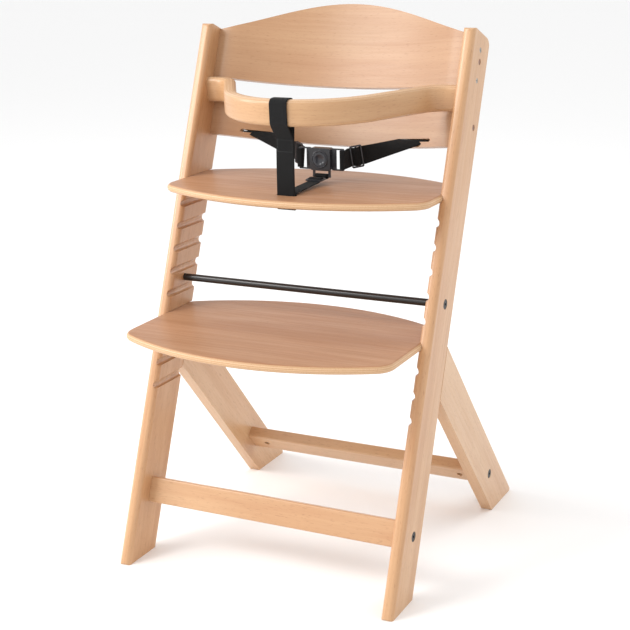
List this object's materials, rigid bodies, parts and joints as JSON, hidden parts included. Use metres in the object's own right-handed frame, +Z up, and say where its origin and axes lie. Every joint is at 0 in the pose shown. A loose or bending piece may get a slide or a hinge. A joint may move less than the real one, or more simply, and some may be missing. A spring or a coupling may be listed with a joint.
{
  "type": "baby high chair",
  "caption": "Wooden high chair with leaning grooved side rails, sliding seat and footrest plates, a bent safety bar and a buckled harness.",
  "frame": {"origin": "on the floor, in the middle of the chair's length and width", "axes": "+Z up, the chair faces -Y, +X is the right-hand side seen from the front"},
  "size_m": [0.488, 0.5816, 0.8765],
  "materials": {
    "rail_wood": "satin clear lacquer",
    "plywood": "satin clear lacquer on bent beech plywood",
    "dowel_wood": "raw beech",
    "dark_wood": "stained, matt",
    "black_rod": "satin black powder coat",
    "black_steel": "black oxide",
    "zinc_steel": "bright zinc",
    "webbing": "woven polypropylene webbing",
    "black_plastic": "satin moulded"
  },
  "bodies": {
    "frame": {"left_side_rail": "rail_wood", "right_side_rail": "rail_wood", "left_rear_leg": "rail_wood", "right_rear_leg": "rail_wood", "front_crossbar": "rail_wood", "rear_crossbar": "rail_wood", "upper_backrest": "plywood", "lower_backrest": "plywood", "safety_bar": "plywood", "tie_rod": "black_rod", "rod_bolts": "black_steel", "front_crossbar_bolts": "black_steel", "rear_crossbar_bolts": "black_steel", "barrel_nuts": "zinc_steel", "backrest_screws": "zinc_steel", "backrest_bolts": "zinc_steel", "bolt_plugs": "dark_wood", "leg_dowels": "dowel_wood", "crossbar_dowels": "dowel_wood", "bar_dowels": "dowel_wood", "crotch_strap": "webbing", "buckle_strap": "webbing", "left_waist_strap": "webbing", "right_waist_strap": "webbing", "waist_strap_stops": "black_plastic", "buckle_body": "black_plastic", "buckle_cover": "black_plastic", "button_spring": "zinc_steel", "crotch_adjuster": "black_plastic"},
    "seat": {"seat_plate": "plywood", "seat_strap_stop": "zinc_steel"},
    "footrest": {"footrest_plate": "plywood"},
    "push_button": {"buckle_button": "black_plastic"},
    "left_tongue_unit": {"left_tongue": "black_plastic", "left_adjuster": "black_plastic"},
    "right_tongue_unit": {"right_tongue": "black_plastic", "right_adjuster": "black_plastic"}
  },
  "joints": [
    {"name": "seat_slide", "type": "slide", "parent": "frame", "child": "seat", "axis": [0, -1, 0], "range_m": [-0.03, 0.03], "deforming": ["crotch_strap", "buckle_strap"]},
    {"name": "footrest_slide", "type": "slide", "parent": "frame", "child": "footrest", "axis": [0, -1, 0], "range_m": [-0.05, 0.04]},
    {"name": "button_press", "type": "slide", "parent": "frame", "child": "push_button", "axis": [0, 1, 0], "range_m": [0, 0.0025], "stiffness_N_per_m": 900, "springref_m": -0.002, "deforming": ["button_spring"]},
    {"name": "left_tongue_pull", "type": "slide", "parent": "frame", "child": "left_tongue_unit", "axis": [-1, 0, 0], "range_m": [0, 0.025], "deforming": ["left_waist_strap"]},
    {"name": "right_tongue_pull", "type": "slide", "parent": "frame", "child": "right_tongue_unit", "axis": [1, 0, 0], "range_m": [0, 0.025], "deforming": ["right_waist_strap"]}
  ]
}
